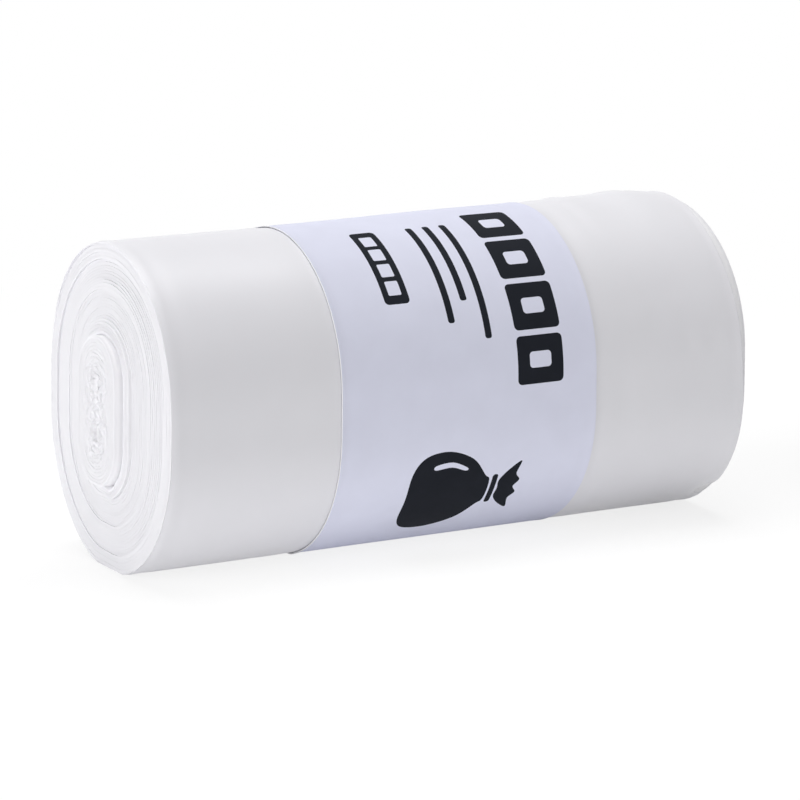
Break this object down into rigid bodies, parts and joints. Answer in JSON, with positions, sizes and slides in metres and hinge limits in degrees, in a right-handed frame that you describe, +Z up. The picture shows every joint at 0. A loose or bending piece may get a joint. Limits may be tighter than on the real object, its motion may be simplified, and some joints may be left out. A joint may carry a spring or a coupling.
{
  "type": "bin bag roll",
  "caption": "Roll of white translucent bin bags with no tube, wound flat and a little oval, its turns showing at both ends, held by a printed paper band around the middle.",
  "frame": {"origin": "middle of the flat spot on which the roll rests", "axes": "+X along the roll's axis, away from the end that the picture shows; +Y towards the back, with the band's glued lap; +Z up"},
  "size_m": [0.2161, 0.0944, 0.105],
  "materials": {
    "film": "milky satin film",
    "paper": "matt pale violet paper"
  },
  "bodies": {
    "root": {"bag_roll": "film", "paper_band": "paper"}
  },
  "joints": []
}
